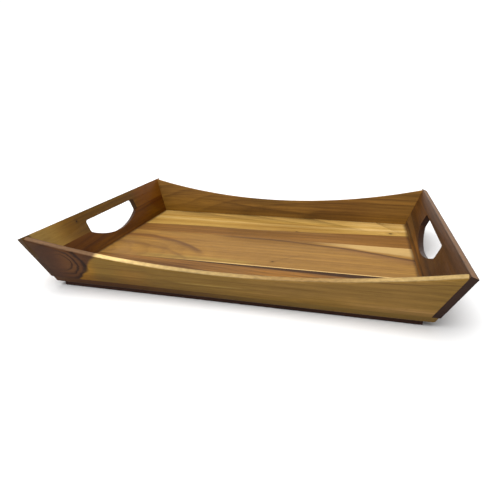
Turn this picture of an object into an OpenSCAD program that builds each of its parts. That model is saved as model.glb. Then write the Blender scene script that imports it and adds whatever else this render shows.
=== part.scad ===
// Serving tray of solid hardwood: four leaning walls around a floor of edge-glued staves, a handle
// cut through each end, and two runners underneath. Millimetres, +Z up, +X along the tray. The
// origin is in the middle of the plan, on the surface that the runners stand on.

/* [Overall] */
// Length over the rims of the two ends
top_len = 500; // [400:1:600]
// Width over the rims of the two long walls
top_wid = 360; // [290:1:440]
// Height that the walls rise over the floor, measured at the corners of the rim
wall_rise = 53; // [44:1:70]
// Lean of the two ends, from the vertical, in degrees
end_flare = 23; // [0:0.5:32]
// Lean of the two long walls, from the vertical, in degrees
side_flare = 18.75; // [0:0.25:30]

/* [Boards] */
// Thickness of the four walls
wall_t = 8; // [6.5:0.1:12]
// Thickness of the floor
floor_t = 7; // [6:0.1:12]
// Radius of the floor's four corners
floor_corner_r = 4.5; // [1:0.5:12]
// Depth of the dip along the rim of each long wall, measured up its slope
rim_dip = 28; // [4:0.5:32]
// Straight rim left at each end of the dip
rim_land = 10; // [9:0.5:30]

/* [Floor staves] */
// Width of the stave along the front edge
front_stave_w = 88; // [40:0.5:100]
// Width of the stave behind it
mid_front_stave_w = 108.5; // [40:0.5:120]
// Width of the narrow stave behind that; the back stave takes what is left
mid_back_stave_w = 34.5; // [26:0.5:42]

/* [Left end] */
// Height up the slope of the glue line between the left end's two staves
left_split = 27; // [16:0.5:33]

/* [Handles] */
// Width of each hand hole
hole_w = 133; // [90:1:160]
// Wood left over the hand hole, up to the rim
handle_bar_h = 14; // [10:0.5:18]
// Wood left under the lowest point of the hand hole
hole_sill_h = 9; // [7:0.5:14]
// Depth of the round lower edge of the hand hole
hole_sag = 17; // [8:0.5:22]
// Radius of the hand hole's four corners
hole_corner_r = 4; // [1:0.5:6]

/* [Runners] */
// Height of the two runners
runner_h = 6; // [4:0.5:12]
// Width of the two runners
runner_w = 16; // [12:0.5:30]
// Distance from each runner to the floor's long edge
runner_inset = 5; // [2:0.5:30]
// Distance from each runner's end to the floor's short edge
runner_end_gap = 15; // [6:1:60]
// Chamfer around the runner's lower edges
runner_chamfer = 1; // [0.5:0.1:2]

/* [Dowels and screws] */
// Diameter of the wooden dowels
dowel_d = 4; // [3:0.1:5]
// Gap around a dowel, on the radius, for glue
dowel_fit = 0.05; // [0.02:0.01:0.15]
// Gap past each end of a dowel
dowel_end_gap = 0.5; // [0.2:0.1:1]
// Depth of a corner dowel in the end grain of a long wall
corner_dowel_in_side = 15; // [8:0.5:24]
// Depth of a corner dowel in an end, along the tray
corner_dowel_in_end = 5; // [3:0.1:5.5]
// Height up the slope of the lower corner dowels
corner_dowel_low = 8; // [6:0.5:9]
// Distance down the slope from the rim to the upper corner dowels
corner_dowel_from_rim = 16; // [12:0.5:18]
// Depth of a wall's dowels in the floor, along the wall's slope
wall_dowel_in_floor = 5; // [3:0.1:5]
// Depth of a wall's dowels in the wall
wall_dowel_in_wall = 10; // [5:0.5:10]
// Distance between dowels under a long wall
side_dowel_pitch = 113; // [60:1:120]
// Distance from a corner of the floor to the nearest dowel under an end
end_dowel_from_corner = 27; // [20:0.5:34]
// Distance from the front edge of the mid-front stave to the end dowel in it
end_dowel_in_mid_front = 29; // [8:0.5:32]
// Distance from the front edge of the mid-back stave to the end dowel in it
end_dowel_in_mid_back = 10.5; // [8:0.5:18]
// Diameter of the runner screws' shank
screw_d = 3; // [2.5:0.1:4]
// Diameter of the runner screws' countersunk head
screw_head_d = 6; // [5:0.1:8]
// Depth that the heads sit inside the runner
screw_recess = 0.6; // [0.2:0.1:1.2]
// Gap around a screw, on the radius
screw_fit = 0.05; // [0.02:0.01:0.15]
// Floor left over the point of a screw
screw_cover = 2; // [1.5:0.1:3]
// Distance between the screws in a runner
screw_pitch = 180; // [80:1:190]

/* [Hidden] */

$fn = 64;
long_arc_fn = 256;

floor_top = runner_h + floor_t;
base_len = top_len - 2 * wall_rise * tan(end_flare);
base_wid = top_wid - 2 * wall_rise * tan(side_flare);
end_slope = wall_rise / cos(end_flare);
side_slope = wall_rise / cos(side_flare);
reach = 2 * (top_len + top_wid);

rim_half = top_len / 2 - rim_land;
rim_r = (rim_half * rim_half + rim_dip * rim_dip) / (2 * rim_dip);

// edges of the floor staves, from the front to the back
stave_edges = [-base_wid / 2, -base_wid / 2 + front_stave_w,
    -base_wid / 2 + front_stave_w + mid_front_stave_w,
    -base_wid / 2 + front_stave_w + mid_front_stave_w + mid_back_stave_w, base_wid / 2];

// places of the dowels along a long wall, and along an end from the front to the back: one a stave
side_dowels = [for (i = [-1.5:1.5]) i * side_dowel_pitch];
end_dowels = [stave_edges[0] + end_dowel_from_corner, stave_edges[1] + end_dowel_in_mid_front,
    stave_edges[2] + end_dowel_in_mid_back, stave_edges[4] - end_dowel_from_corner];

hole_top = end_slope - handle_bar_h;
hole_r = (hole_w * hole_w / 4 + hole_sag * hole_sag) / (2 * hole_sag);
hole_arc_y = hole_sill_h + hole_r;
hole_side_y = hole_sill_h + hole_sag;
// centre and touching point of the fillet between the hole's straight side and its round edge
fillet_x = hole_w / 2 - hole_corner_r;
fillet_y = hole_arc_y - sqrt(pow(hole_r - hole_corner_r, 2) - fillet_x * fillet_x);
touch_x = fillet_x * hole_r / (hole_r - hole_corner_r);
touch_y = hole_arc_y - (hole_arc_y - fillet_y) * hole_r / (hole_r - hole_corner_r);

runner_len = base_len - 2 * runner_end_gap;
runner_y = base_wid / 2 - runner_inset - runner_w / 2;
screw_head_h = (screw_head_d - screw_d) / 2;
screw_top = floor_top - screw_cover;
screw_tip_h = screw_d;
slot_w = 0.9;
slot_depth = 0.9;

stave_wood = "#9a6238";
pale_wood = "#c59a5a";
dark_wood = "#5b3a26";
dowel_wood = "#d8bb8a";
steel = "#b9bcc0";

// ---- frames: a wall is drawn flat, with X along it, Y up its slope from the floor and Z out of it

module lean(half_span, flare)
    translate([0, -half_span, floor_top]) rotate([90 + flare, 0, 0]) children();

module at_front() lean(base_wid / 2, side_flare) children();
module at_back() rotate([0, 0, 180]) at_front() children();
module at_right() rotate([0, 0, 90]) lean(base_len / 2, end_flare) children();
module at_left() rotate([0, 0, 180]) at_right() children();

// everything inward of a plane at this height over a wall's outer face
module inward(z) translate([-reach / 2, -reach / 2, z - reach]) cube(reach);

module over_floor() translate([-reach / 2, -reach / 2, floor_top]) cube(reach);

// ---- floor

// what the rounding takes off a front corner of the floor: side is 1 at the right and -1 at the left
module floor_corner_cut(side) {
    out_end = [side * cos(end_flare), 0, -sin(end_flare)];
    out_front = [0, -cos(side_flare), -sin(side_flare)];
    slope = [-side * tan(end_flare), tan(side_flare), -1];
    down = slope / norm(slope);
    across = cross(down, out_end);
    tip = [out_end * out_front, across * out_front];
    corner = [side * base_len / 2, -base_wid / 2, floor_top];
    axis = corner - floor_corner_r / (1 + tip.x) * (out_end + out_front);
    multmatrix([for (k = [0:2]) [out_end[k], across[k], down[k], axis[k]]])
        translate([0, 0, -floor_t]) linear_extrude(3 * floor_t) difference() {
            polygon(1.5 * floor_corner_r * [[0, 0], [1, 0], ([1, 0] + tip) / (1 + tip.x), tip]);
            circle(floor_corner_r);
        }
}

// a stave of the floor, counted from the front; its outer edges carry on the slopes of the walls
module floor_stave(i) difference() {
    intersection() {
        translate([-base_len / 2, stave_edges[i], runner_h])
            cube([base_len, stave_edges[i + 1] - stave_edges[i], floor_t]);
        at_front() inward(0);
        at_back() inward(0);
        at_left() inward(0);
        at_right() inward(0);
    }
    if (i == 0) for (side = [-1, 1]) floor_corner_cut(side);
    if (i == 3) rotate([0, 0, 180]) for (side = [-1, 1]) floor_corner_cut(side);
    wall_dowel_bores(stave_edges[i], stave_edges[i + 1]);
    runner_screw_bores(stave_edges[i], stave_edges[i + 1]);
}

// ---- long walls

module side_outline() difference() {
    translate([-reach / 2, -wall_t]) square([reach, side_slope + wall_t]);
    translate([0, side_slope - rim_dip + rim_r]) rotate(90) circle(rim_r, $fn = long_arc_fn);
}

// a long wall in its own place at the front, fitted between the ends and on the floor
module side_wall() difference() {
    intersection() {
        at_front() translate([0, 0, -wall_t]) linear_extrude(wall_t) side_outline();
        at_right() inward(-wall_t);
        at_left() inward(-wall_t);
        over_floor();
    }
    at_front() foot_dowels(side_dowels, side_flare, dowel_fit, dowel_end_gap);
    for (side = [-1, 1]) corner_dowels(side, dowel_fit, dowel_end_gap);
}

// ---- ends

// the hand hole: straight on top and at the sides, round below, with its corners rounded
module hand_hole() {
    half = hole_w / 2;
    difference() {
        union() {
            translate([-half, hole_side_y])
                square([hole_w, hole_top - hole_corner_r - hole_side_y]);
            translate([-half + hole_corner_r, hole_side_y])
                square([hole_w - 2 * hole_corner_r, hole_top - hole_side_y]);
            for (x = [-1, 1]) translate([x * (half - hole_corner_r), hole_top - hole_corner_r])
                circle(hole_corner_r);
            intersection() {
                translate([0, hole_arc_y]) rotate(90) circle(hole_r, $fn = long_arc_fn);
                translate([-half, 0]) square([hole_w, hole_side_y]);
            }
        }
        for (x = [-1, 1]) polygon([[x * fillet_x, fillet_y], [x * touch_x, touch_y],
            [x * touch_x, touch_y - hole_corner_r], [x * (half + 1), touch_y - hole_corner_r],
            [x * (half + 1), fillet_y]]);
    }
    for (x = [-1, 1]) translate([x * fillet_x, fillet_y]) circle(hole_corner_r);
}

// an end, or a stave of one, in its own place at the right, between two heights up the slope
module end_stave(low, high, dowels) difference() {
    intersection() {
        at_right() translate([0, 0, -wall_t]) linear_extrude(wall_t) difference() {
            translate([-reach / 2, low]) square([reach, high - low]);
            hand_hole();
        }
        at_front() inward(0);
        at_back() inward(0);
        over_floor();
    }
    at_right() foot_dowels(dowels, end_flare, dowel_fit, dowel_end_gap);
    corner_dowels(1, dowel_fit, dowel_end_gap);
    rotate([0, 0, 180]) corner_dowels(-1, dowel_fit, dowel_end_gap);
}

// ---- dowels

// the dowels between a wall and the floor, in the wall's flat frame, along the middle of its thickness
module foot_dowels(places, flare, fit = 0, end_gap = 0) {
    seam_y = -wall_t / 2 * tan(flare);
    for (x = places)
        translate([x, seam_y - wall_dowel_in_floor - end_gap, -wall_t / 2])
            rotate([-90, 0, 0])
                cylinder(h = wall_dowel_in_floor + wall_dowel_in_wall + 2 * end_gap,
                    r = dowel_d / 2 + fit);
}

// the two dowels at one end of the front wall: side is 1 at the right and -1 at the left
module corner_dowels(side, fit = 0, end_gap = 0) {
    for (up = [corner_dowel_low, side_slope - corner_dowel_from_rim]) {
        rise = up * cos(side_flare) + wall_t / 2 * sin(side_flare);
        seam_x = base_len / 2 - wall_t / cos(end_flare) + rise * tan(end_flare);
        at_front() translate([side * (seam_x + corner_dowel_in_end + end_gap), up, -wall_t / 2])
            rotate([0, -side * 90, 0])
                cylinder(h = corner_dowel_in_side + corner_dowel_in_end + 2 * end_gap,
                    r = dowel_d / 2 + fit);
    }
}

// all the bores for the walls' dowels that could reach a floor stave lying between two edges
module wall_dowel_bores(low, high) {
    if (low < -base_wid / 4) at_front() foot_dowels(side_dowels, side_flare, dowel_fit, dowel_end_gap);
    if (high > base_wid / 4) at_back() foot_dowels(side_dowels, side_flare, dowel_fit, dowel_end_gap);
    at_left() foot_dowels(-end_dowels, end_flare, dowel_fit, dowel_end_gap);
    at_right() foot_dowels(end_dowels, end_flare, dowel_fit, dowel_end_gap);
}

// ---- runners and their screws

module runner() difference() {
    translate([0, -runner_y, 0]) intersection() {
        translate([-runner_len / 2, 0, 0]) rotate([90, 0, 90]) linear_extrude(runner_len)
            runner_section(runner_w / 2);
        translate([0, runner_w / 2, 0]) rotate([90, 0, 0]) linear_extrude(runner_w)
            runner_section(runner_len / 2);
    }
    runner_screws(screw_fit, runner_h);
}

// a block with its two lower edges chamfered
module runner_section(half) polygon([[-half, runner_h], [-half, runner_chamfer],
    [-half + runner_chamfer, 0], [half - runner_chamfer, 0], [half, runner_chamfer], [half, runner_h]]);

// one countersunk screw standing on its head, or its bore, which is open below the head
module runner_screw(fit = 0, open = 0) {
    r = screw_d / 2 + fit;
    head_r = screw_head_d / 2 + fit;
    translate([0, 0, screw_recess - open]) cylinder(h = open, r = head_r);
    translate([0, 0, screw_recess]) cylinder(h = screw_head_h, r1 = head_r, r2 = r);
    translate([0, 0, screw_recess]) cylinder(h = screw_top - screw_tip_h - screw_recess, r = r);
    translate([0, 0, screw_top - screw_tip_h]) cylinder(h = screw_tip_h, r1 = r, r2 = r / 6);
}

module screw_places() for (i = [-1:1]) translate([i * screw_pitch, -runner_y, 0]) children();

module runner_screws(fit = 0, open = 0) screw_places() runner_screw(fit, open);

// screws with a straight slot across the head
module slotted_runner_screws() difference() {
    runner_screws();
    screw_places() translate([-screw_head_d / 2, -slot_w / 2, screw_recess - 1])
        cube([screw_head_d, slot_w, slot_depth + 1]);
}

// the screws' bores in a floor stave lying between two edges
module runner_screw_bores(low, high) {
    if (low < -base_wid / 4) runner_screws(screw_fit);
    if (high > base_wid / 4) rotate([0, 0, 180]) runner_screws(screw_fit);
}

// ---- the pieces

module floor_front_stave() color(dark_wood) floor_stave(0);
module floor_mid_front_stave() color(stave_wood) floor_stave(1);
module floor_mid_back_stave() color(stave_wood) floor_stave(2);
module floor_back_stave() color(pale_wood) floor_stave(3);
module front_wall() color(pale_wood) side_wall();
module back_wall() color(pale_wood) rotate([0, 0, 180]) side_wall();
module left_end_lower_stave() color(dark_wood) rotate([0, 0, 180]) end_stave(-wall_t, left_split, -end_dowels);
module left_end_upper_stave() color(stave_wood) rotate([0, 0, 180]) end_stave(left_split, end_slope, -end_dowels);
module right_end_board() color(stave_wood) end_stave(-wall_t, end_slope, end_dowels);
module front_runner() color(dark_wood) runner();
module back_runner() color(dark_wood) rotate([0, 0, 180]) runner();
module front_left_corner_dowels() color(dowel_wood) corner_dowels(-1);
module front_right_corner_dowels() color(dowel_wood) corner_dowels(1);
module back_left_corner_dowels() color(dowel_wood) rotate([0, 0, 180]) corner_dowels(1);
module back_right_corner_dowels() color(dowel_wood) rotate([0, 0, 180]) corner_dowels(-1);
module front_wall_dowels() color(dowel_wood) at_front() foot_dowels(side_dowels, side_flare);
module back_wall_dowels() color(dowel_wood) at_back() foot_dowels(side_dowels, side_flare);
module left_end_dowels() color(dowel_wood) at_left() foot_dowels(-end_dowels, end_flare);
module right_end_dowels() color(dowel_wood) at_right() foot_dowels(end_dowels, end_flare);
module front_runner_screws() color(steel) slotted_runner_screws();
module back_runner_screws() color(steel) rotate([0, 0, 180]) slotted_runner_screws();

floor_front_stave();
floor_mid_front_stave();
floor_mid_back_stave();
floor_back_stave();
front_wall();
back_wall();
left_end_lower_stave();
left_end_upper_stave();
right_end_board();
front_runner();
back_runner();
front_left_corner_dowels();
front_right_corner_dowels();
back_left_corner_dowels();
back_right_corner_dowels();
front_wall_dowels();
back_wall_dowels();
left_end_dowels();
right_end_dowels();
front_runner_screws();
back_runner_screws();
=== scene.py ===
"""A serving tray of oiled hardwood: rounded boards, their figured wood and screws, around its frame."""

import logging
import math
from dataclasses import dataclass
from enum import Enum
from typing import Callable

import bmesh
import bpy
from mathutils import Matrix, Vector


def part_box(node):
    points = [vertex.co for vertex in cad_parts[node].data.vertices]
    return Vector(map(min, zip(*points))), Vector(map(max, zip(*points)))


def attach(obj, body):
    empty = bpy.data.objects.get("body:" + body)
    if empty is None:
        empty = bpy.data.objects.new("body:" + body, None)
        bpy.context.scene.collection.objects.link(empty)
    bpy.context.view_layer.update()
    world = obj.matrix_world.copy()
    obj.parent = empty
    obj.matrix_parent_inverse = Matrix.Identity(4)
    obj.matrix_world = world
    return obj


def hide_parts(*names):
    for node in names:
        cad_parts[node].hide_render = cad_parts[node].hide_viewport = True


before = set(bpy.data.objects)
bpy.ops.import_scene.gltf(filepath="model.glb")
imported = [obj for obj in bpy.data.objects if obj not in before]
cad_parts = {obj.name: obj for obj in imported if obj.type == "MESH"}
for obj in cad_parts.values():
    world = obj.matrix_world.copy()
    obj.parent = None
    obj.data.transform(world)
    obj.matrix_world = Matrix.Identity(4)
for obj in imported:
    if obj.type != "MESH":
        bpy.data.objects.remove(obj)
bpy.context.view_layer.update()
LOG = logging.getLogger("serving_tray")

BODY = "root"
MM = 0.001

Point = tuple[float, float]
Colour = Band = Spot = tuple[float, float, float]
Socket = bpy.types.NodeSocket
Material = bpy.types.Material
Piece = bpy.types.Object

SPAN = 256.0
WHOLE: Band = (-1000.0, 1000.0, 20.0)


def tone(code: str) -> Colour:
    """Turns a colour written as six hex digits, such as "c59a5a", into linear red, green and blue."""
    parts = (int(code[i : i + 2], 16) / 255 for i in (0, 2, 4))
    return tuple(p / 12.92 if p <= 0.04045 else ((p + 0.055) / 1.055) ** 2.4 for p in parts)


def socket_colour(colour: object) -> object:
    """Makes a tone's code or a colour what a colour socket takes, and leaves a link as it is."""
    plain = tone(colour) if isinstance(colour, str) else colour
    return (*plain, 1.0) if isinstance(plain, tuple) else plain


def add_object(name: str, data: bpy.types.ID) -> Piece:
    """Puts a new object with that name and data into the scene."""
    made = bpy.data.objects.new(name, data)
    bpy.context.scene.collection.objects.link(made)
    return made


class Slot(Enum):
    """The record's material slots."""

    GOLDEN = "golden_wood"
    BROWN = "brown_wood"
    DARK = "dark_wood"
    SCREW = "screw_steel"


# ---- shader expressions


def operator(operation: str, swapped: bool = False) -> Callable[["Value", "Value | float"], "Value"]:
    """Makes an operator of a Value, which adds a Math node.

    Args:
        operation: The node's operation.
        swapped: Whether the other term comes first.

    Returns:
        The operator.
    """

    def apply(value: "Value", other: "Value | float") -> "Value":
        """Works on a value and the other term."""
        return value.graph.maths(operation, *((other, value) if swapped else (value, other)))

    return apply


class Value:
    """A number that varies over a surface. Arithmetic on it adds Math nodes to its graph."""

    def __init__(self, graph: "Graph", socket: Socket) -> None:
        """Wraps an output socket."""
        self.graph = graph
        self.socket = socket

    __add__ = __radd__ = operator("ADD")
    __mul__ = __rmul__ = operator("MULTIPLY")
    __sub__ = operator("SUBTRACT")
    __rsub__ = operator("SUBTRACT", swapped=True)
    __truediv__ = operator("DIVIDE")
    __pow__ = operator("POWER")

    def fraction(self) -> "Value":
        """Keeps what is left above the whole number."""
        return self.graph.maths("FRACT", self)

    def root(self) -> "Value":
        """Takes the square root."""
        return self.graph.maths("SQRT", self)

    def rise(self, low: float, high: float) -> "Value":
        """Goes smoothly from 0 at low to 1 at high.

        Args:
            low: Where the step starts.
            high: Where it is complete.

        Returns:
            The step's value.
        """
        inputs = {"Value": self, "From Min": low, "From Max": high}
        made = self.graph.node("ShaderNodeMapRange", inputs, interpolation_type="SMOOTHSTEP")
        return Value(self.graph, made.outputs["Result"])

    def fall(self, low: float, high: float) -> "Value":
        """Goes smoothly from 1 at low to 0 at high."""
        return 1 - self.rise(low, high)

    def within(self, band: Band) -> "Value":
        """Is 1 between a band's two places and 0 outside it, with ends as soft as it says."""
        low, high, soft = band
        return self.rise(low - soft, low + soft) * self.fall(high - soft, high + soft)


class Nodes:
    """A node tree in which every node comes from one method."""

    def __init__(self, tree: bpy.types.NodeTree) -> None:
        """Empties the tree and takes it over."""
        self.tree = tree
        tree.nodes.clear()

    def node(self, kind: str, inputs: dict | None = None, **settings: object) -> bpy.types.Node:
        """Adds a node.

        Args:
            kind: The node's type.
            inputs: The numbers, colours or links of its sockets, by name or place.
            settings: Its own properties, which are set first.

        Returns:
            The new node.
        """
        made = self.tree.nodes.new(kind)
        for key, value in settings.items():
            setattr(made, key, value)
        for key, value in (inputs or {}).items():
            source = value.socket if isinstance(value, Value) else value
            if isinstance(source, Socket):
                self.tree.links.new(source, made.inputs[key])
            else:
                made.inputs[key].default_value = source
        return made


class Graph(Nodes):
    """The nodes of one material, with the few calls that its finish is written in."""

    def __init__(self, name: str) -> None:
        """Starts an empty material of that name."""
        self.material = bpy.data.materials.new(name)
        self.material.use_nodes = True
        super().__init__(self.material.node_tree)

    def maths(self, operation: str, *terms: "Value | float") -> Value:
        """Adds a Math node of that operation, on its terms in order."""
        made = self.node("ShaderNodeMath", dict(enumerate(terms)), operation=operation)
        return Value(self, made.outputs[0])

    def surface(self) -> Socket:
        """Reads where a point of the surface is, in metres."""
        return self.node("ShaderNodeTexCoord").outputs["Object"]

    def vector(self, x: Value, y: Value, z: Value) -> Socket:
        """Joins three numbers into a vector."""
        return self.node("ShaderNodeCombineXYZ", {0: x, 1: y, 2: z}).outputs[0]

    def dot(self, vector: Socket, axis: Vector) -> Value:
        """Measures a vector along an axis."""
        made = self.node("ShaderNodeVectorMath", {0: vector, 1: tuple(axis)}, operation="DOT_PRODUCT")
        return Value(self, made.outputs["Value"])

    def noise(self, place: Socket, detail: float, roughness: float) -> Value:
        """Reads smooth noise, about 0 to 1, whose grains are one unit across."""
        inputs = {"Vector": place, "Scale": 1.0, "Detail": detail, "Roughness": roughness}
        made = self.node("ShaderNodeTexNoise", inputs, noise_dimensions="3D")
        return Value(self, made.outputs[0])

    def blend(self, first: object, second: object, factor: Value) -> Socket:
        """Mixes two colours: the first where the factor is 0, the second where it is 1."""
        inputs = {0: factor, 6: socket_colour(first), 7: socket_colour(second)}
        return self.node("ShaderNodeMix", inputs, data_type="RGBA").outputs[2]

    def scale(self, colour: Socket, level: Socket) -> Socket:
        """Multiplies a colour by another."""
        made = self.node("ShaderNodeVectorMath", {0: colour, 1: level}, operation="MULTIPLY")
        return made.outputs["Vector"]

    def shade(self, colour: Socket, darkness: Value) -> Socket:
        """Multiplies a colour by a grey of 1 less the darkness."""
        level = 1 - darkness
        return self.scale(colour, self.vector(level, level, level))

    def tint(self, colour: Socket, gain: Colour, factor: Value) -> Socket:
        """Multiplies a colour's red, green and blue, as far as the factor says."""
        return self.scale(colour, self.blend((1.0, 1.0, 1.0), gain, factor))

    def attribute(self, name: str) -> Value:
        """Reads a number that the mesh carries."""
        return Value(self, self.node("ShaderNodeAttribute", attribute_name=name).outputs["Fac"])

    def course(self, along: Value, points: tuple[Point, ...]) -> Value:
        """Follows a smooth line drawn over a board.

        Args:
            along: The place along the board, in millimetres.
            points: The line's places along and up the board, in order, none past SPAN either way.

        Returns:
            The line's height at that place.
        """
        made = self.node("ShaderNodeFloatCurve", {"Value": 0.5 + along / (2 * SPAN)})
        curve = made.mapping.curves[0]
        while len(curve.points) < len(points):
            curve.points.new(0.5, 0.5)
        for spot, (a, b) in zip(curve.points, points):
            spot.location = (0.5 + a / (2 * SPAN), 0.5 + b / (2 * SPAN))
            spot.handle_type = "AUTO"
        made.mapping.update()
        return (Value(self, made.outputs[0]) - 0.5) * (2 * SPAN)

    def finish(
        self, colour: object, roughness: Value | float, relief: Value | None = None,
        relief_depth: float = 0.0, metallic: float = 0.0, specular: float = 0.5,
    ) -> Material:
        """Closes the material with its shader.

        Args:
            colour: The surface's colour.
            roughness: How dull it is.
            relief: A height from 0 to 1, or nothing.
            relief_depth: What that height measures, in metres.
            metallic: 1 for a metal.
            specular: How strongly it reflects, 0.5 for a plain varnish.

        Returns:
            The finished material.
        """
        inputs = {"Base Color": socket_colour(colour), "Roughness": roughness, "Metallic": metallic}
        inputs["Specular IOR Level"] = specular
        if relief is not None:
            bump = self.node("ShaderNodeBump", {"Strength": 1.0, "Distance": relief_depth, "Height": relief})
            inputs["Normal"] = bump.outputs[0]
        shader = self.node("ShaderNodeBsdfPrincipled", inputs)
        self.node("ShaderNodeOutputMaterial", {"Surface": shader.outputs[0]})
        return self.material


# ---- boards and their figure


@dataclass(frozen=True)
class BoardAxes:
    """A board's own axes, in metres: along its grain, up its face and out of it."""

    origin: Vector
    along: Vector
    up: Vector
    out: Vector

    @classmethod
    def lying(cls, top: float) -> "BoardAxes":
        """Gives the axes of a board that lies flat with its grain along X."""
        return cls(Vector((0, 0, top)), Vector((1, 0, 0)), Vector((0, 1, 0)), Vector((0, 0, 1)))

    @classmethod
    def leaning(cls, node: str, along: Vector, outward: Vector) -> "BoardAxes":
        """Finds the axes of a wall from its own widest face.

        Args:
            node: The wall's node.
            along: The direction of its grain.
            outward: Roughly where its outer face looks.

        Returns:
            Axes that start at the foot of the outer face.
        """
        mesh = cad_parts[node].data
        weights: dict[tuple[float, ...], Vector] = {}
        for face in mesh.polygons:
            if face.normal.dot(outward) > 0.5:
                key = tuple(round(x, 2) for x in face.normal)
                weights[key] = weights.get(key, Vector()) + face.normal * face.area
        out = max(weights.values(), key=lambda weight: weight.length).normalized()
        up = out.cross(along).normalized()
        up = up if up.z > 0 else -up
        height = max(v.co.dot(out) for v in mesh.vertices)
        foot = min(v.co.dot(up) for v in mesh.vertices if height - v.co.dot(out) < 0.05 * MM)
        return cls(out * height + up * foot, along, up, out)

    def measure(self, point: Vector) -> Vector:
        """Gives a point's places along, up and out of the board, in millimetres."""
        return self.turned(point - self.origin) / MM

    def turned(self, direction: Vector) -> Vector:
        """Gives a direction in the board's own axes."""
        return Vector((direction.dot(self.along), direction.dot(self.up), direction.dot(self.out)))


class Place:
    """Where a point of the surface lies on its board, in millimetres."""

    def __init__(self, graph: Graph, axes: BoardAxes, seed: float) -> None:
        """Measures the surface along the board's axes.

        Args:
            graph: The material's graph.
            axes: The board's axes.
            seed: A number that gives the board noise of its own.
        """
        self.graph = graph
        self.seed = seed
        where = graph.surface()
        self.along, self.up, self.out = (
            graph.dot(where, axis / MM) - axes.origin.dot(axis) / MM
            for axis in (axes.along, axes.up, axes.out)
        )

    def noise(
        self, length: float, width: float, detail: float = 2, roughness: float = 0.5, shift: float = 0
    ) -> Value:
        """Reads noise whose grains have a length along the board and a width across it.

        Args:
            length: The grains' length, in millimetres.
            width: Their width.
            detail: How many finer octaves are added.
            roughness: How strong those are.
            shift: A number that sets this noise apart from the board's others.

        Returns:
            The noise, about 0 to 1.
        """
        along = self.along / length + self.seed + shift
        spot = self.graph.vector(along, self.up / width + self.seed, self.out / width + shift)
        return self.graph.noise(spot, detail, roughness)

    def stray(self, reach: float, *layer: float, **more: float) -> Value:
        """Strays about as far as a reach, either way, with noise of that length, width and so on."""
        return (self.noise(*layer, **more) - 0.5) * (2 * reach)

    def above(self, points: tuple[Point, ...], wander: float, length: float, width: float) -> Value:
        """Measures how far the surface lies above a course that strays by its wander."""
        stray = self.stray(wander, length, width, shift=points[0][1])
        return self.up + stray - self.graph.course(self.along, points)


def level(height: float) -> tuple[Point, Point]:
    """Gives a course that keeps one height up the board."""
    return (-SPAN, height), (SPAN, height)


class Feature:
    """Something that is drawn over a board's rings."""

    def paint(self, place: Place, colour: Socket) -> Socket:
        """Adds the feature to the board's colour.

        Args:
            place: Where the surface lies on the board.
            colour: The colour so far.

        Returns:
            The colour with the feature.
        """
        raise NotImplementedError


class Side(Enum):
    """Which side of a line a zone covers."""

    ABOVE = 1
    BELOW = -1


ABOVE, BELOW = Side


@dataclass(frozen=True)
class Zone(Feature):
    """A part of the board, on one side of a course, that has another tone.

    Lengths are in millimetres.

    Attributes:
        points: The course's places along and up the board.
        side: The side that it covers.
        colour: The zone's tone.
        soft: How far its edge fades.
        strength: How much of the tone shows.
        stretch: Where along the board it shows, and how soft those ends are.
        wander: How far its edge strays from its course.
        reach: How deep it goes from its edge before it fades out, where it does.
    """

    points: tuple[Point, ...]
    side: Side
    colour: str
    soft: float
    strength: float
    stretch: Band = WHOLE
    wander: float = 1.5
    reach: float = 0.0

    def paint(self, place: Place, colour: Socket) -> Socket:
        """Adds the zone to the board's colour."""
        gap = place.above(self.points, self.wander, 70, 50) * float(self.side.value)
        mask = gap.rise(-self.soft / 2, self.soft / 2) * place.along.within(self.stretch)
        if self.reach:
            mask = mask * gap.fall(0, self.reach)
        return place.graph.blend(colour, self.colour, mask * self.strength)


@dataclass(frozen=True)
class Vein(Feature):
    """A line of another tone that follows a course over the board.

    Its fields are a zone's, and how far it fades above and below its course.
    """

    points: tuple[Point, ...]
    colour: str
    above: float
    below: float
    strength: float
    stretch: Band = WHOLE
    wander: float = 1.5

    def paint(self, place: Place, colour: Socket) -> Socket:
        """Adds the line to the board's colour."""
        gap = place.above(self.points, self.wander, 60, 60)
        mask = gap.rise(-self.below, 0) * gap.fall(0, self.above) * place.along.within(self.stretch)
        return place.graph.blend(colour, self.colour, mask * self.strength)


@dataclass(frozen=True)
class Tint(Feature):
    """A soft-edged patch where all the wood is lighter or darker than elsewhere on its board.

    It lies in a stretch along the board and in rows up it, and its gain multiplies red, green and blue.
    """

    stretch: Band
    rows: Band
    gain: Colour

    def paint(self, place: Place, colour: Socket) -> Socket:
        """Adds the patch to the board's colour."""
        low, _, soft = self.rows
        up = place.up + place.stray(soft, 50, 30, shift=low + 0.5)
        return place.graph.tint(colour, self.gain, up.within(self.rows) * place.along.within(self.stretch))


@dataclass(frozen=True)
class PaintedCornerShade(Feature):
    """A dark line painted on the floor along the foot of the four walls: painted shade in the corners.

    The halves are those of the distances between opposite walls' feet, in millimetres.
    """

    half_length: float = 218.8
    half_width: float = 153.5
    reach: float = 3.6
    colour: str = "2e1a0c"
    strength: float = 0.75

    def paint(self, place: Place, colour: Socket) -> Socket:
        """Adds the painted shade to the board's colour."""
        maths = place.graph.maths
        stray = place.stray(self.reach / 2, 26, 26, 3)
        end, side = self.half_length, self.half_width
        near_end = (maths("ABSOLUTE", place.along) + stray).rise(end - self.reach * 1.6, end)
        near_side = (maths("ABSOLUTE", place.up) + stray).rise(side - self.reach, side)
        return place.graph.blend(colour, self.colour, maths("MAXIMUM", near_end, near_side) * self.strength)


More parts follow.
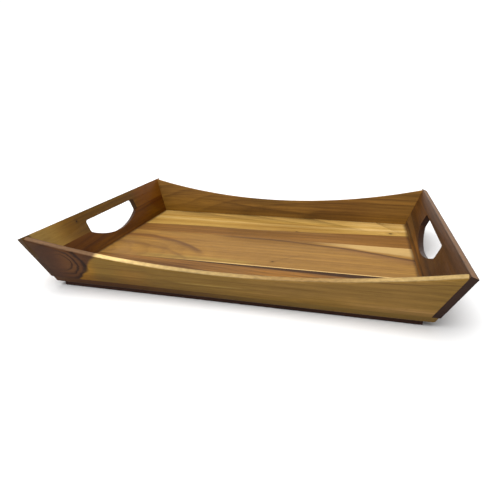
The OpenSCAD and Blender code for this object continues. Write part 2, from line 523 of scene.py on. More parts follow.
@dataclass(frozen=True)
class PinKnot(Feature):
    """A small dark knot at a place along and up the board, in a faint halo where the grain parts."""

    at: Point
    radius: float
    colour: str

    def paint(self, place: Place, colour: Socket) -> Socket:
        """Adds the knot to the board's colour."""
        across = place.along - self.at[0]
        up = place.up - self.at[1]
        rough = place.stray(self.radius / 2, 3, 3, shift=self.at[0])
        reach = (across * across + up * up).root() + rough
        halo = reach.fall(self.radius, self.radius * 3.5) * 0.25
        core = reach.fall(self.radius * 0.6, self.radius * 1.1) * 0.9
        return place.graph.blend(place.graph.blend(colour, self.colour, halo), self.colour, core)


@dataclass(frozen=True)
class Eye(Feature):
    """Arcs of figure that close round a branch, inside a dark patch of heartwood.

    The radii reach along and up the board, and each ring is a part of them with a width.
    """

    at: Point
    radii: Point
    rings: tuple[Point, ...]
    light: str
    dark: str

    def paint(self, place: Place, colour: Socket) -> Socket:
        """Adds the arcs to the board's colour."""
        blend = place.graph.blend
        across = (place.along - self.at[0]) / self.radii[0]
        up = (place.up - self.at[1]) / self.radii[1]
        coarse = place.stray(0.275, 34, 24)
        reach = (across * across + up * up).root() + coarse + place.stray(0.07, 9, 7, shift=2.0)
        clear = (across + coarse).rise(-0.3, 0.55) * 0.9 + 0.1
        made = blend(colour, self.light, reach.fall(0.5, 1.0) * clear * 0.5)
        for part, width in self.rings:
            arc = reach.rise(part - width, part) * reach.fall(part, part + width * 0.6)
            made = blend(made, self.dark, arc * clear * 0.85)
        return made


# The layers of noise in all the wood: their grains' length and width, in millimetres, their finer
# octaves and how strong those are, and a number that sets each apart from the others.
BENDS = (210.0, 34.0, 3, 0.45)
YEARS = (500.0, 60.0, 1, 0.5, 13.0)
STREAKS = (420.0, 9.0, 3, 0.6, 3.0)
LINES = (170.0, 2.2, 3, 0.65, 17.0)
FIBRES = (46.0, 0.75, 5, 0.65, 5.0)
PORES = (9.0, 0.42, 1, 0.5, 7.0)
FLECKS = (22.0, 2.4, 2, 0.6, 29.0)
CLOUDS = (90.0, 45.0, 4, 0.6, 11.0)
MOTTLE = (6.0, 3.5, 3, 0.6, 19.0)

# How strongly they show in the wood's tone, its roughness and its relief.
FLECK_TONE, CLOUD_TONE, PORE_TONE, MOTTLE_TONE = 0.2, 0.18, 0.18, 0.45
FIBRE_ROUGHNESS, PORE_ROUGHNESS, OILED_ROUGHNESS = 0.22, 0.15, 0.42
FIBRE_RELIEF, PORE_RELIEF, RING_RELIEF, RELIEF_DEPTH = 0.6, 0.4, 0.25, 0.06 * MM
PORE_EDGE: Point = (0.62, 0.72)
FAINT_RINGS = 0.25
YEAR_SHIFT = 4.0
OILED_SPECULAR = 0.09
END_GRAIN_TONE = 0.85
# Painted shade along a rim's two rounded edges.
RIM_EDGE_SHADE = 0.4


@dataclass(frozen=True)
class Rings:
    """How a board was sawn through its tree's yearly rings. Lengths are in millimetres.

    The pith is where the tree's heart lies, up and out of the board. For each length along the board it
    drifts up it and dives under it, which bends the figure. The lines are faint outside the stretch.
    """

    spacing: float
    depth: float
    wander: float
    pith: Point = (-40.0, -60.0)
    drift: float = 0.02
    dive: float = 0.0
    stretch: Band = WHOLE

    def lines(self, place: Place) -> Value:
        """Cuts the rings with the surface.

        Args:
            place: Where the surface lies on the board.

        Returns:
            0 in the early wood, rising to 1 at each ring line.
        """
        up = place.up + place.stray(self.wander, *BENDS) - self.pith[0] - place.along * self.drift
        out = place.out - self.pith[1] + place.along * self.dive
        turn = (up * up + out * out).root() / self.spacing
        year = (turn + place.noise(*YEARS) * YEAR_SHIFT).fraction()
        shown = place.along.within(self.stretch) * (1 - FAINT_RINGS) + FAINT_RINGS
        return (year ** 2.2) * year.fall(0.86, 1.0) * shown


@dataclass(frozen=True)
class Timber:
    """The wood of one board: how it was sawn, its tones and its figure.

    The early wood between the ring lines is pale and the late wood at them deep, and the seed gives the
    board figure of its own. A rim, the faces that look up, has a tone and features of its own: its paler
    tone is painted top light, with painted highlights where given and painted shade along its edges.
    """

    name: str
    pale: str
    deep: str
    end_tone: str
    seed: float
    rings: Rings
    streak: float = 0.35
    fibre: float = 0.4
    features: tuple[Feature, ...] = ()
    # The rim's tone is painted paler than the face, standing in for the light that falls on faces that look
    # up.
    lit_rim_tone: str = ""
    rim_features: tuple[Feature, ...] = ()

    def material(self, axes: BoardAxes) -> Material:
        """Builds the board's material.

        Args:
            axes: The board's axes.

        Returns:
            The material.
        """
        graph = Graph(self.name)
        place = Place(graph, axes, self.seed)
        rings = self.rings.lines(place)
        lines = place.noise(*LINES) - 0.5
        fibres = place.noise(*FIBRES)
        pores = place.noise(*PORES).rise(*PORE_EDGE)

        drawn = place.stray(1.1 * self.streak, *STREAKS) + lines * (2.0 * self.streak) + 0.3
        colour = graph.blend(self.pale, self.deep, rings * self.rings.depth + drawn)
        for feature in self.features:
            colour = feature.paint(place, colour)
        # Painted top light: faces that look up take the paler rim tone.
        if self.lit_rim_tone:
            colour = graph.blend(colour, self._rim(place, lines), graph.attribute("rim"))
        colour = graph.blend(colour, self.end_tone, graph.attribute("end_grain") * END_GRAIN_TONE)
        grain = (fibres - 0.5) * self.fibre + place.stray(FLECK_TONE, *FLECKS)
        colour = graph.shade(colour, grain + place.stray(CLOUD_TONE, *CLOUDS) + pores * PORE_TONE)

        roughness = (fibres - 0.5) * FIBRE_ROUGHNESS + pores * PORE_ROUGHNESS + OILED_ROUGHNESS
        relief = fibres * FIBRE_RELIEF - pores * PORE_RELIEF + rings * RING_RELIEF
        return graph.finish(colour, roughness, relief, RELIEF_DEPTH, specular=OILED_SPECULAR)

    def _rim(self, place: Place, lines: Value) -> Socket:
        """Colours the rim, with painted shade along its two rounded edges.

        Args:
            place: Where the surface lies on the board.
            lines: The board's thin lines.

        Returns:
            The rim's colour.
        """
        colour = place.graph.blend(self.lit_rim_tone, self.deep, lines * 0.8)
        for feature in self.rim_features:
            colour = feature.paint(place, colour)
        # Painted shade along the rim's outer and inner rounded edges.
        edges = place.out.rise(-2.8, -0.6) * RIM_EDGE_SHADE + place.out.fall(-7.6, -5.6) * RIM_EDGE_SHADE
        return place.graph.shade(colour, place.stray(MOTTLE_TONE, *MOTTLE) + edges)


# Painted shade in the corners where the floor meets the four walls.
FLOOR_CORNER_SHADE = PaintedCornerShade()

# The yellow sapwood stave, with heartwood along its front edge towards the right.
HEART_EDGE = ((-256, 68), (-213, 69), (-120, 73), (-31, 72), (62, 76), (149, 83), (217, 90), (256, 94))
YELLOW_SAPWOOD = Timber(
    "yellow_sapwood", "a88542", "78521d", "674723", 11, Rings(4.5, 0.2, 5, (240, -150), 0.03),
    streak=0.8,
    features=(
        Vein(
            ((-256, 112), (-100, 108), (0, 104), (120, 108), (256, 118)), "bd9d62", 9, 9, 0.5, wander=5,
        ),
        Zone(HEART_EDGE, BELOW, "735028", 2.5, 0.9, wander=1),
        Vein(HEART_EDGE, "4f3419", 1.2, 5, 0.6, wander=1),
        Tint((-60, 100, 30), (78, 106, 7), (0.8, 0.75, 0.67)),
        Tint((110, 300, 30), (70, 84, 4), (0.85, 0.77, 0.76)),
        Tint((132, 300, 25), (92, 200, 5), (1.18, 1.23, 1.45)),
        Tint(WHOLE, (128, 200, 4), (1, 1.03, 1.22)),
        PinKnot((193, 98), 3, "1c0d06"),
        PinKnot((47, 77), 1.6, "452914"),
        FLOOR_CORNER_SHADE,
    ),
)

# The narrow brown stave.
BROWN_HEARTWOOD = Timber(
    "brown_heartwood", "835a27", "513316", "52381b", 23, Rings(6.5, 0.25, 7, (-60, -90), 0.015),
    streak=0.7,
    features=(
        Zone(level(60), ABOVE, "5f3f1d", 14, 0.5),
        Tint((-58, 60, 30), (40, 80, 3), (0.86, 0.84, 0.64)),
        FLOOR_CORNER_SHADE,
    ),
)

# The widest stave: a cathedral on the left, and a wedge of sapwood on the right.
SAPWOOD_EDGE = (
    (-256, 33), (-20, 32), (31, 30), (68, 24), (100, 20), (127, 16), (171, 4), (201, -5), (256, -21),
)
CATHEDRAL = ((-256, 13), (-212, 12), (-178, 11), (-146, 2), (-113, -13), (-78, -36), (-40, -70), (256, -200))
FLAT_SAWN_HEARTWOOD = Timber(
    "flat_sawn_heartwood", "916b33", "624221", "634627", 37,
    Rings(9, 0.22, 6, (-55, -93), 0, 0.34, stretch=(-300, -90, 50)), streak=0.62,
    features=(
        Vein(CATHEDRAL, "503321", 6, 17, 0.72, (-300, -72, 14), wander=5),
        Vein(
            ((-256, -22), (-200, -24), (-150, -34), (-110, -50), (-70, -80), (256, -220)), "5c3d23", 5,
            10, 0.45, (-300, -80, 20), wander=5,
        ),
        Tint((-300, -68, 40), (34, 60, 5), (1.2, 1.28, 1.15)),
        Tint((-65, 95, 40), (14, 34, 8), (0.8, 0.75, 0.62)),
        Tint((-300, -125, 30), (-1, 14, 5), (1.22, 1.15, 0.95)),
        Tint((-300, -60, 20), (-60, -28, 6), (1.1, 1.1, 1)),
        Tint((-150, 8, 20), (-74, -60, 3), (1.12, 1.28, 1.25)),
        Zone(SAPWOOD_EDGE, BELOW, "745032", 4, 0.6, (120, 300, 50), reach=30),
        Zone(
            ((-256, 33), (31, 32), (100, 25), (127, 21), (171, 11), (201, 5), (256, -8)), ABOVE,
            "b0905a", 9, 0.92, (105, 300, 45), wander=2.5,
        ),
        Vein(SAPWOOD_EDGE, "472d1b", 2.5, 8, 0.8, (-60, 300, 30)),
        Vein(
            ((-256, -200), (20, -64), (34, -54), (68, -25), (110, -12), (256, 0)), "5c3f21", 0.8, 2.2, 0.6,
            (30, 70, 6), wander=0.6,
        ),
        PinKnot((34, -55), 2, "442910"),
        # Painted highlight: a pale line along the stave's front edge, as if that edge caught the light.
        Zone(level(-72), BELOW, "d6b274", 1, 0.8, (-60, 300, 60), wander=0.15),
        FLOOR_CORNER_SHADE,
    ),
)

# The front stave, darkest along its glue line, where a shadow line is painted beside the mid stave's edge,
# and at the left of its bare edge.
DARK_HEARTWOOD = Timber(
    "dark_heartwood", "855b29", "4f3318", "3e2718", 41, Rings(8, 0.4, 7, (-260, -80), -0.16),
    streak=0.7,
    features=(
        Vein(
            ((-256, -66), (-200, -77), (-130, -88), (-60, -100), (60, -124), (256, -160)), "5b3c1c", 2,
            12, 0.6, (-300, 20, 40), wander=3,
        ),
        # Painted shade: a shadow line along the glue line, as if the mid stave's edge stood higher.
        Zone(
            ((-256, -75.5), (-120, -75.5), (-40, -78), (40, -81), (120, -84), (256, -88)), ABOVE,
            "311d0f", 3, 0.85, (-130, 300, 50),
        ),
        Tint((-150, -60, 45), (-125, -90, 14), (0.68, 0.64, 0.66)),
        Tint((30, 90, 30), (-118, -88, 7), (1.25, 1.2, 0.85)),
        Tint((95, 300, 25), (-94, -60, 7), (0.82, 0.8, 0.88)),
        Vein(level(-74), "2e1c0f", 0.5, 1.6, 0.8, wander=0.2),
        FLOOR_CORNER_SHADE,
        Zone(level(-158), BELOW, "41250b", 1, 0.9, (-300, -40, 140), wander=0.3),
        Zone(level(-158), BELOW, "6a5225", 1, 0.9, (0, 300, 150), wander=0.3),
    ),
)

# Straight golden wood, with a dark patch of heartwood round a branch at its left end.
BRANCH_EDGE = (
    (-256, -120), (-187, -1), (-175, 14), (-167, 25), (-161, 33), (-152, 41), (-130, 66), (256, 240),
)
GOLDEN_STRAIGHT_GRAIN = Timber(
    "golden_straight_grain", "7c5e26", "49340e", "36241a", 53,
    Rings(3.2, 0.14, 5, (-150, -250), 0.02), streak=0.5, fibre=0.5, lit_rim_tone="a28755",
    features=(
        Zone(((-256, 7), (256, 9)), BELOW, "4f3713", 9, 0.6, (-300, -70, 60), wander=4),
        Vein(
            ((-256, 38), (190, 42), (237, 47), (256, 49)), "402b10", 0.5, 1.4, 0.6, (150, 300, 30),
            wander=0.3,
        ),
        Vein(
            ((-256, 12), (-60, 12), (60, 13), (256, 14)), "957938", 1, 1.6, 0.7, (-50, 20, 20), wander=0.6,
        ),
        Zone(BRANCH_EDGE, ABOVE, "362016", 7, 0.95, wander=3),
        Eye((-203, 26), (35, 27), ((0.95, 0.15), (0.7, 0.11), (0.47, 0.1)), "4b3321", "120804"),
        Zone(
            ((-256, 20), (-236, 42), (-218, 58), (-180, 90), (256, 240)), ABOVE, "432d1b", 12, 0.7,
            wander=3,
        ),
        Tint((-300, -207, 14), (-50, 90, 4), (1.02, 0.82, 0.5)),
        Tint((-207, -165, 14), (-50, 90, 4), (1.6, 1.32, 0.7)),
        Tint((-130, -95, 15), (-2, 24, 5), (1.17, 1.07, 1)),
        Tint((30, 225, 40), (8, 90, 6), (1.26, 1.25, 1.75)),
        Tint((-130, 20, 40), (-2, 90, 6), (1, 1, 1.2)),
        Tint((10, 300, 40), (-50, 9, 4), (1.08, 1.06, 1.2)),
        Tint((150, 300, 40), (-50, 9, 4), (1.3, 1.34, 1.9)),
    ),
    rim_features=(
        # A painted highlight on the rim's left part, then a darker stretch, and the dark heartwood's rim at
        # the far left.
        Zone(level(-100), ABOVE, "ddbb7c", 4, 0.9, (-300, -90, 60)),
        Zone(level(-100), ABOVE, "866434", 4, 0.8, (40, 140, 70)),
        Zone(level(-100), ABOVE, "5c3d25", 4, 0.95, (-300, -153, 4)),
    ),
)

# Golden-brown wood with wavy figure.
GOLDEN_WAVY_GRAIN = Timber(
    "golden_wavy_grain", "845c24", "492e0d", "3c2919", 61, Rings(8, 0.4, 14, (-20, 75), -0.05, 0.1),
    streak=0.6, lit_rim_tone="a67f36",
    features=(
        Vein(
            ((-256, 30), (-120, 22), (-60, 14), (0, 9), (60, 4), (256, -20)), "3f270b", 1.5, 7, 0.6,
            (-110, 60, 40), wander=3,
        ),
        Zone(((-256, 16), (-60, 14), (60, 4), (256, -20)), BELOW, "5c3e16", 10, 0.5),
        Tint((-300, -115, 35), (-50, 25, 6), (1.28, 1.3, 1.05)),
        Tint((-60, 20, 25), (17, 90, 5), (0.76, 0.77, 0.74)),
        Tint((58, 155, 30), (-50, 90, 6), (0.77, 0.73, 0.68)),
        Tint(WHOLE, (-50, 9, 4), (1, 0.98, 0.77)),
    ),
)

# The dark red stave under the left end's glue line.
DARK_RED_HEARTWOOD = Timber(
    "dark_red_heartwood", "5e3304", "3e1d02", "2c1602", 71, Rings(7, 0.5, 7, (-50, 70), 0.03),
    streak=0.5,
    features=(
        Zone(((-256, 220), (60, 120), (110, 26), (160, -20), (256, -120)), ABOVE, "4d2102", 20, 0.6),
        Tint(WHOLE, (-50, 60, 4), (1.04, 1.1, 0.62)),
        Tint((-120, -88, 10), (-50, 9, 3), (0.75, 0.66, 0.72)),
        Tint((-75, 0, 20), (-50, 9, 3), (1.2, 1.3, 1)),
        Tint((95, 300, 20), (-50, 18, 4), (1.08, 1.22, 1.6)),
    ),
)

# The golden-brown stave above the left end's glue line, paler at the near end.
GOLDEN_BROWN_END = Timber(
    "golden_brown_end", "6c4b14", "402707", "3c2710", 83, Rings(7, 0.2, 8, (-70, 120), 0.05),
    streak=0.5, lit_rim_tone="94693a",
    features=(
        Zone(
            ((-256, 250), (-150, 120), (-118, 30), (-86, -40), (256, -240)), BELOW, "97783d", 190,
            0.95,
        ),
        Zone(((-256, -250), (40, -80), (70, 30), (110, 120), (256, 250)), BELOW, "6c3e0b", 110, 0.8),
        Tint((-135, -85, 18), (20, 90, 4), (1.32, 1.27, 1.1)),
        Tint((40, 300, 30), (20, 90, 4), (0.98, 0.94, 0.75)),
        Tint((-300, -168, 3), (-50, 90, 4), (0.3, 0.24, 0.22)),
        PinKnot((-84, 48), 1.6, "1d1003"),
    ),
)

# The brown board of the right end, with a paler wedge along its foot and painted shade in the corner at its
# foot.
FOOT_WEDGE_EDGE = ((-256, -12), (-72, 1), (36, 11), (145, 17), (256, 24))
BROWN_END = Timber(
    "brown_end", "4b2e11", "2c1908", "241511", 97, Rings(8, 0.35, 9, (-200, 60), 0.04), streak=0.6,
    lit_rim_tone="684623",
    features=(
        Zone(FOOT_WEDGE_EDGE, BELOW, "5f3c15", 1.6, 0.85, wander=0.8),
        Vein(FOOT_WEDGE_EDGE, "2b1706", 0.8, 1.8, 0.6, wander=0.8),
        # Painted shade: a dark line along the foot, in the corner where the end meets the floor.
        Vein(level(3), "1d1007", 1.5, 6, 0.7, (-300, 300, 5)),
        Tint((45, 300, 20), (26, 90, 6), (1.4, 1.36, 1.15)),
        Tint((-300, 20, 20), (26, 90, 6), (1.08, 1.02, 0.82)),
        Tint((-118, -85, 12), (9, 31, 4), (0.8, 0.7, 0.68)),
        Tint((-82, 45, 16), (-50, 10, 3), (1.38, 1.38, 1.3)),
        Tint((80, 300, 20), (-50, 18, 3), (1.05, 1.25, 2)),
    ),
)


# ---- rounded boards

FLOOR_CORNER_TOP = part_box("floor_back_stave")[1]
FLOOR_HALF_LENGTH = FLOOR_CORNER_TOP.x / MM
FLOOR_HALF_WIDTH = FLOOR_CORNER_TOP.y / MM
FLOOR_EDGE = 9.0


@dataclass
class RoundedBoard:
    """A board of the frame with its bare arrises rounded over.

    Attributes:
        bare: Says whether an edge is bare, from its middle on the board and its two faces' normals.
        radius: How far the arrises are rounded, in millimetres.
        rim_from: The height up the board over which a face that looks up is its rim.
        sawn: How far the edges under that height, such as a hole's, take the end grain's tone.
        flat_angle: Faces that turn by less than this are one face.
        sharp_angle: Faces that turn by more than this meet in an arris.
    """

    node: str
    slot: Slot
    axes: BoardAxes
    timber: Timber
    bare: Callable[[Vector, Vector, Vector], bool]
    radius: float
    rim_from: float = 8.0
    sawn: float = 0.0
    segments: int = 3
    flat_angle: float = math.radians(0.4)
    sharp_angle: float = math.radians(32)

    def build(self) -> None:
        """Makes the board, dresses it and puts it in place of its node."""
        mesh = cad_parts[self.node].data.copy()
        mesh.name = f"{self.node}_board"
        mesh.materials.clear()
        shape = bmesh.new()
        shape.from_mesh(mesh)
        bmesh.ops.remove_doubles(shape, verts=shape.verts, dist=0.002 * MM)
        parts = {"verts": shape.verts, "edges": shape.edges}
        bmesh.ops.dissolve_limit(shape, angle_limit=self.flat_angle, use_dissolve_boundaries=False, **parts)
        shape.normal_update()
        edges = [edge for edge in shape.edges if self._is_bare(edge)]
        bmesh.ops.bevel(
            shape, geom=edges, offset=self.radius * MM, offset_type="OFFSET", segments=self.segments,
            profile=0.5, affect="EDGES", clamp_overlap=True,
        )
        self._mark(shape)
        for face in shape.faces:
            face.smooth = True
        shape.to_mesh(mesh)
        shape.free()
        mesh.set_sharp_from_angle(angle=self.sharp_angle)
        piece = add_object(mesh.name, mesh)
        mesh.materials.append(self.timber.material(self.axes))
        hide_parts(self.node)
        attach(piece, BODY)
        LOG.info("%s: %d arrises rounded, %d faces", piece.name, len(edges), len(mesh.polygons))

    def _is_bare(self, edge: bmesh.types.BMEdge) -> bool:
        """Says whether an edge is a sharp one that nothing covers."""
        if len(edge.link_faces) != 2 or edge.calc_face_angle(0.0) < self.sharp_angle:
            return False
        middle = self.axes.measure((edge.verts[0].co + edge.verts[1].co) / 2)
        first, second = (self.axes.turned(face.normal) for face in edge.link_faces)
        return self.bare(middle, first, second) or self.bare(middle, second, first)

    def _mark(self, shape: bmesh.types.BMesh) -> None:
        """Writes on each face how far it is a rim and how far it is end grain."""
        rim = shape.faces.layers.float.new("rim")
        end_grain = shape.faces.layers.float.new("end_grain")
        for face in shape.faces:
            turned = self.axes.turned(face.normal)
            above = self.axes.measure(face.calc_center_median()).y > self.rim_from
            # A face that looks up is rim, and takes the rim's painted top light.
            face[rim] = min(1.0, max(0.0, (turned.y - 0.75) / 0.2)) if above else 0.0
            sawn = 0.0 if above or abs(turned.z) > 0.75 else self.sawn
            face[end_grain] = max(sawn, min(1.0, (abs(turned.x) - 0.55) / 0.35))


def is_rim_arris(middle: Vector, first: Vector, second: Vector) -> bool:
    """Says whether an edge lies between a wall's rim and one of its two faces."""
    return first.y > 0.85 and abs(second.z) > 0.9


def is_floor_arris(middle: Vector, first: Vector, second: Vector) -> bool:
    """Says whether an edge lies between the floor's underside and its outer edge."""
    at_end = abs(middle.x) > FLOOR_HALF_LENGTH - FLOOR_EDGE
    at_side = abs(middle.y) > FLOOR_HALF_WIDTH - FLOOR_EDGE
    return second.z < -0.9 and abs(first.z) < 0.5 and (at_end or at_side)


def is_runner_arris(middle: Vector, first: Vector, second: Vector) -> bool:
    """Says whether an edge lies round the lower half of a runner, away from its screws."""
    return second.z < -0.6 and max(abs(first.x), abs(first.y)) > 0.6 and middle.z < 5


@dataclass(frozen=True)
class EndArrises:
    """Which arrises of an end board are bare: the rim, the hand hole and the tray's outer corners.

    All but half the hole's width are heights up the board; the split is a glue line, which stays sharp.
    """

    hole_half: float
    hole_low: float
    rim: float
    split: float | None = None

    def __call__(self, middle: Vector, first: Vector, second: Vector) -> bool:
        """Says whether an edge of the end is bare."""
        if abs(second.z) < 0.9:
            return False
        if self.split is not None and abs(middle.y - self.split) < 0.2 and abs(first.y) > 0.9:
            return False
        in_hole = abs(middle.x) < self.hole_half + 1 and self.hole_low - 1 < middle.y < self.rim - 5
        outer_corner = abs(first.x) > 0.85 and second.z > 0.9
        return in_hole or outer_corner or is_rim_arris(middle, first, second)


# ---- sub-assemblies


@dataclass
class TrayFloor:
    """The floor: staves glued edge to edge, whose figure runs along the tray."""

    rounding: float = 1.0

    def build(self) -> None:
        """Builds the four staves."""
        axes = BoardAxes.lying(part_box("floor_front_stave")[1].z)
        staves = (
            ("floor_back_stave", Slot.GOLDEN, YELLOW_SAPWOOD),
            ("floor_mid_back_stave", Slot.BROWN, BROWN_HEARTWOOD),
            ("floor_mid_front_stave", Slot.BROWN, FLAT_SAWN_HEARTWOOD),
            ("floor_front_stave", Slot.DARK, DARK_HEARTWOOD),
        )
        for node, slot, timber in staves:
            RoundedBoard(node, slot, axes, timber, is_floor_arris, self.rounding).build()


@dataclass
class LongWalls:
    """The two long walls, whose rims dip between the ends."""

    rounding: float = 1.9

    def build(self) -> None:
        """Builds the front and the back wall."""
        walls = (("front_wall", -1, GOLDEN_STRAIGHT_GRAIN), ("back_wall", 1, GOLDEN_WAVY_GRAIN))
        for node, outward, timber in walls:
            axes = BoardAxes.leaning(node, Vector((1, 0, 0)), Vector((0, outward, 0)))
            RoundedBoard(node, Slot.GOLDEN, axes, timber, is_rim_arris, self.rounding).build()


@dataclass
class TrayEnds:
    """The two ends, each with a hand hole: the left is glued up from two staves.

    Attributes:
        hole_half: Half the hand hole's width, in millimetres.
        hole_low: The wood left under the hole.
        rim_depth: How far under the top of an end its rim reaches.
        sawn: How far the hole's edge takes the end grain's tone.
    """

    hole_half: float = 66.5
    hole_low: float = 9.0
    rounding: float = 1.9
    rim_depth: float = 8.0
    sawn: float = 0.8

    def build(self) -> None:
        """Builds the left end's staves and the right end."""
        left, split = self._axes("left_end_lower_stave", -1)
        right, rim = self._axes("right_end_board", 1)
        left_rule = EndArrises(self.hole_half, self.hole_low, rim, split)
        right_rule = EndArrises(self.hole_half, self.hole_low, rim)
        size = (self.rounding, rim - self.rim_depth, self.sawn)
        boards = (
            ("left_end_lower_stave", Slot.DARK, left, DARK_RED_HEARTWOOD, left_rule),
            ("left_end_upper_stave", Slot.BROWN, left, GOLDEN_BROWN_END, left_rule),
            ("right_end_board", Slot.BROWN, right, BROWN_END, right_rule),
        )
        for board in boards:
            RoundedBoard(*board, *size).build()

    def _axes(self, node: str, outward: int) -> tuple[BoardAxes, float]:
        """Finds an end's axes and its height; outward is 1 where its outer face looks right, else -1."""
        axes = BoardAxes.leaning(node, Vector((0, 1, 0)), Vector((outward, 0, 0)))
        return axes, max(axes.measure(v.co).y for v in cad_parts[node].data.vertices)


@dataclass
class Runners:
    """The two runners under the floor and the countersunk screws that hold them.

    Lengths are in millimetres. A runner has count screws, each with that many sides round it.
    """

    rounding: float = 0.4
    head_radius: float = 3.0
    shank_radius: float = 1.5
    slot_width: float = 0.9
    slot_depth: float = 0.9
    count: int = 3
    sides: int = 40

    def build(self) -> None:
        """Builds both runners and both rows of screws."""
        steel = self.steel()
        for where, seed in (("front", 103.0), ("back", 109.0)):
            node = f"{where}_runner"
            axes = BoardAxes.lying(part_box(node)[1].z)
            timber = Timber(f"{node}_wood", "382219", "24130d", "20110a", seed, Rings(5.0, 0.5, 4.0))
            RoundedBoard(node, Slot.DARK, axes, timber, is_runner_arris, self.rounding).build()
            self.screws(f"{node}_screws", steel)

    def screws(self, node: str, steel: Material) -> None:
        """Sets a row of screws in place of a node.

        Args:
            node: The frame's node of screws.
            steel: Their material.
        """
        low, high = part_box(node)
        head = self.head_radius * MM
        pitch = (high.x - low.x - 2 * head) / (self.count - 1)
        slot_size = Vector((2 * self.head_radius + 1, self.slot_width, 2 * self.slot_depth))
        blank = self.blank((high.z - low.z) / MM)
        holder = add_object(f"{node}_row", bpy.data.meshes.new(f"{node}_row"))
        sizes = {
            "Screw": ("Object", blank),
            "Count": ("Int", self.count),
            "Start": ("Vector", Vector((low.x + head, (low.y + high.y) / 2, low.z))),
            "Pitch": ("Vector", Vector((pitch, 0, 0))),
            "Slot size": ("Vector", slot_size * MM),
            "Material": ("Material", steel),
        }
        modifier = holder.modifiers.new("row", "NODES")
        modifier.node_group = self.row_tree({name: kind for name, (kind, _) in sizes.items()})
        for item in modifier.node_group.interface.items_tree:
            if item.name in sizes:
                modifier[item.identifier] = sizes[item.name][1]
        evaluated = holder.evaluated_get(bpy.context.evaluated_depsgraph_get())
        mesh = bpy.data.meshes.new_from_object(evaluated)
        holder.modifiers.clear()
        bpy.data.objects.remove(holder)
        bpy.data.objects.remove(blank)
        mesh.name = f"{node}_set"
        mesh.set_sharp_from_angle(angle=math.radians(30))
        piece = add_object(mesh.name, mesh)
        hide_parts(node)
        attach(piece, BODY)
        LOG.info("%s: %d screws, %d faces", piece.name, self.count, len(mesh.polygons))

    def blank(self, length: float) -> Piece:
        """Turns one screw, without its slot, standing on its head.

        Args:
            length: The screw's length, in millimetres.

        Returns:
            An object that the row repeats.
        """
        head, shank = self.head_radius, self.shank_radius
        profile = (
            (0, 0), (head - 0.35, 0), (head - 0.1, 0.08), (head, 0.3), (shank + 0.15, head - shank),
            (shank, head - shank + 0.3), (shank, length - 2 * shank), (shank * 0.6, length - shank),
            (0, length),
        )
        shape = bmesh.new()
        ring = [shape.verts.new((r * MM, 0, z * MM)) for r, z in profile]
        edges = [shape.edges.new(pair) for pair in zip(ring, ring[1:])]
        bmesh.ops.spin(
            shape, geom=ring + edges, axis=(0, 0, 1), angle=math.tau, steps=self.sides, use_merge=True
        )
        bmesh.ops.remove_doubles(shape, verts=shape.verts, dist=0.001 * MM)
        bmesh.ops.recalc_face_normals(shape, faces=shape.faces)
        for face in shape.faces:
            face.smooth = True
        mesh = bpy.data.meshes.new("screw_blank")
        shape.to_mesh(mesh)
        shape.free()
        return add_object("screw_blank", mesh)

    def row_tree(self, kinds: dict[str, str]) -> bpy.types.NodeTree:
        """Builds the tree that slots a screw and repeats it along a row.

        Args:
            kinds: The names of its inputs, with their sockets' kinds.

        Returns:
            The node group.
        """
        tree = bpy.data.node_groups.new("screw_row", "GeometryNodeTree")
        add = Nodes(tree).node
        for name, kind in kinds.items():
            tree.interface.new_socket(name, in_out="INPUT", socket_type=f"NodeSocket{kind}")
        tree.interface.new_socket("Geometry", in_out="OUTPUT", socket_type="NodeSocketGeometry")
        sizes = add("NodeGroupInput").outputs
        screw = add("GeometryNodeObjectInfo", {"Object": sizes["Screw"]}).outputs["Geometry"]
        slot = add("GeometryNodeMeshCube", {"Size": sizes["Slot size"]}).outputs["Mesh"]
        cut = add("GeometryNodeMeshBoolean", {"Mesh 1": screw, "Mesh 2": slot}, operation="DIFFERENCE")
        row = {"Count": sizes["Count"], "Start Location": sizes["Start"], "Offset": sizes["Pitch"]}
        points = add("GeometryNodeMeshLine", row).outputs["Mesh"]
        repeat = add("GeometryNodeInstanceOnPoints", {"Points": points, "Instance": cut.outputs["Mesh"]})
        plain = add("GeometryNodeRealizeInstances", {"Geometry": repeat.outputs[0]}).outputs[0]
        dressed = add("GeometryNodeSetMaterial", {"Geometry": plain, "Material": sizes["Material"]})
        add("NodeGroupOutput", {"Geometry": dressed.outputs[0]})
        return tree

    def steel(self) -> Material:
        """Builds the screws' zinc-plated steel, with fine turning marks and a little tarnish."""
        graph = Graph("zinc_plated_steel")
        spot = graph.node("ShaderNodeVectorMath", {0: graph.surface(), 3: 900.0}, operation="SCALE")
        marks = graph.noise(spot.outputs[0], 4, 0.6)
        colour = graph.blend("b4b6b8", "7f7c74", marks.rise(0.5, 0.75) * 0.6)
        return graph.finish(colour, 0.28 + marks * 0.25, marks, 0.01 * MM, metallic=1.0)


@dataclass
class Dowels:
    """The dowels hidden in the joints, which keep the frame's shapes."""

    joints: tuple[str, ...] = (
        "front_left_corner", "front_right_corner", "back_left_corner", "back_right_corner",
        "front_wall", "back_wall", "left_end", "right_end",
    )

    def dress(self) -> None:
        """Gives every dowel its raw beech."""
        beech = self.beech()
        for joint in self.joints:
            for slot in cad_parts[f"{joint}_dowels"].material_slots:
                slot.material = beech
            LOG.info("%s_dowels: dressed", joint)

    def beech(self) -> Material:
        """Builds raw beech with short dark flecks."""
        graph = Graph("raw_beech")
        place = Place(graph, BoardAxes.lying(0.0), 127.0)
        fleck = place.noise(2.5, 0.5).rise(0.6, 0.7)
        colour = graph.blend("d3b184", "b98f5e", place.noise(9, 4, 3))
        colour = graph.blend(colour, "8a5f38", fleck * 0.5)
        return graph.finish(colour, 0.62 + fleck * 0.1, 1 - fleck, 0.03 * MM)


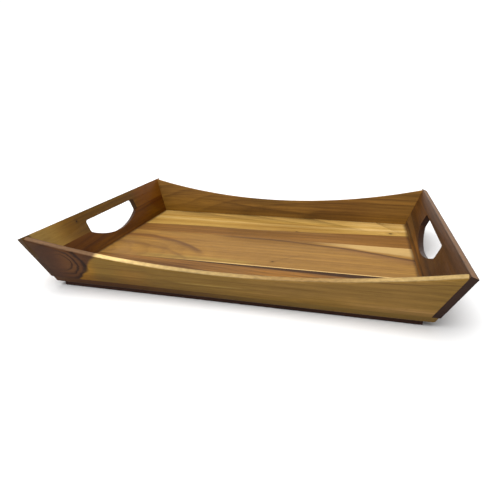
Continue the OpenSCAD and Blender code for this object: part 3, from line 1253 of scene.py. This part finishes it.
@dataclass
class Studio:
    """A plain pale floor, soft overhead light and the camera.

    Lengths are in metres, but the lens and sensor in millimetres, and angles are in degrees. The camera
    stands at the eye, looks left and down by its turn and tilt, and is rolled about its line of sight.
    The sky fades from the horizon's strength to the zenith's between two heights on its unit sphere.
    """

    eye: Spot = (0.13676, -0.56073, 0.22909)
    turn: float = 14.809
    tilt: float = 21.105
    roll: float = -0.786
    lens: float = 29.965
    sensor: float = 36.0
    floor_size: float = 12.0
    horizon: float = 1.05
    zenith: float = 0.35
    fade: Point = (0.16, 0.5)
    lamp_power: float = 4.4
    lamp_spread: float = 80.0
    lamp_from: Spot = (-0.2, -0.1, 1.0)

    def build(self) -> None:
        """Sets up the floor, the sky, the lamp and the camera."""
        self.add_floor()
        self.add_sky()
        self.add_lamp()
        self.add_camera()
        bpy.context.scene.view_settings.view_transform = "Standard"

    def add_floor(self) -> None:
        """Lays the floor under the runners."""
        half = self.floor_size / 2
        corners = [(-half, -half, 0), (half, -half, 0), (half, half, 0), (-half, half, 0)]
        mesh = bpy.data.meshes.new("studio_floor")
        mesh.from_pydata(corners, [], [(0, 1, 2, 3)])
        floor = add_object("studio_floor", mesh)
        mesh.materials.append(Graph("pale_floor").finish((0.8, 0.8, 0.8), 0.9, specular=0.1))

    def add_sky(self) -> None:
        """Puts a white sky over the tray, brighter low down than overhead."""
        world = bpy.data.worlds.new("studio")
        world.use_nodes = True
        add = Nodes(world.node_tree).node
        height = add("ShaderNodeSeparateXYZ", {0: add("ShaderNodeTexCoord").outputs["Generated"]})
        inputs = {"Value": height.outputs["Z"], "From Min": self.fade[0], "From Max": self.fade[1]}
        inputs |= {"To Min": self.horizon, "To Max": self.zenith}
        strength = add("ShaderNodeMapRange", inputs, interpolation_type="SMOOTHSTEP").outputs["Result"]
        sky = add("ShaderNodeBackground", {"Color": (1.0, 1.0, 1.0, 1.0), "Strength": strength})
        add("ShaderNodeOutputWorld", {"Surface": sky.outputs[0]})
        bpy.context.scene.world = world

    def add_lamp(self) -> None:
        """Hangs one large soft lamp over the tray."""
        data = bpy.data.lights.new("overhead_lamp", "SUN")
        data.energy = self.lamp_power
        data.angle = math.radians(self.lamp_spread)
        lamp = add_object("overhead_lamp", data)
        lamp.rotation_euler = (-Vector(self.lamp_from)).to_track_quat("-Z", "Y").to_euler()

    def add_camera(self) -> None:
        """Places the camera and makes it the scene's."""
        data = bpy.data.cameras.new("camera")
        data.lens = self.lens
        data.sensor_width = self.sensor
        data.clip_start = 0.01
        camera = add_object("camera", data)
        turn, tilt, roll = (math.radians(x) for x in (self.turn, self.tilt, self.roll))
        look = Matrix.Translation(self.eye)
        for angle, axis in ((turn, "Z"), (math.pi / 2 - tilt, "X"), (roll, "Z")):
            look = look @ Matrix.Rotation(angle, 4, axis)
        camera.matrix_world = look
        bpy.context.scene.camera = camera


def main() -> None:
    """Builds the tray and its studio."""
    logging.basicConfig(level=logging.INFO, format="%(message)s")
    Studio().build()
    TrayFloor().build()
    LongWalls().build()
    TrayEnds().build()
    Runners().build()
    Dowels().dress()


if __name__ == "__main__":
    main()
